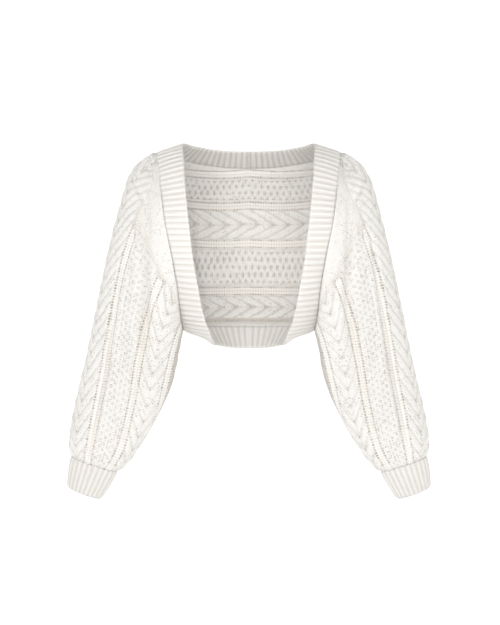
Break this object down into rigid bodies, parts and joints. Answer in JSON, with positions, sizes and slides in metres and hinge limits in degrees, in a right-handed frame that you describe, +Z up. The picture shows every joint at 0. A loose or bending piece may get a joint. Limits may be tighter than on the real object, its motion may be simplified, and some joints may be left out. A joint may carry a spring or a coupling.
{
  "type": "knitted shrug",
  "caption": "Cropped open-front shrug in cable knit, with full dolman sleeves gathered into ribbed cuffs and a ribbed band round its whole opening.",
  "frame": {"origin": "midway between the wearer's shoulders, just below the top edge of the back neck, on the mount that names how the garment is worn", "axes": "+X to the wearer's left, across the sleeves; -Y to the front; +Z up through the neck"},
  "size_m": [0.7042, 0.2265, 0.6911],
  "materials": {
    "cabled_wool": "soft matt wool",
    "ribbed_wool": "soft matt wool"
  },
  "bodies": {
    "root": {"back": "cabled_wool", "sleeve_left": "cabled_wool", "sleeve_right": "cabled_wool", "band": "ribbed_wool", "cuff_left": "ribbed_wool", "cuff_right": "ribbed_wool"}
  },
  "joints": []
}
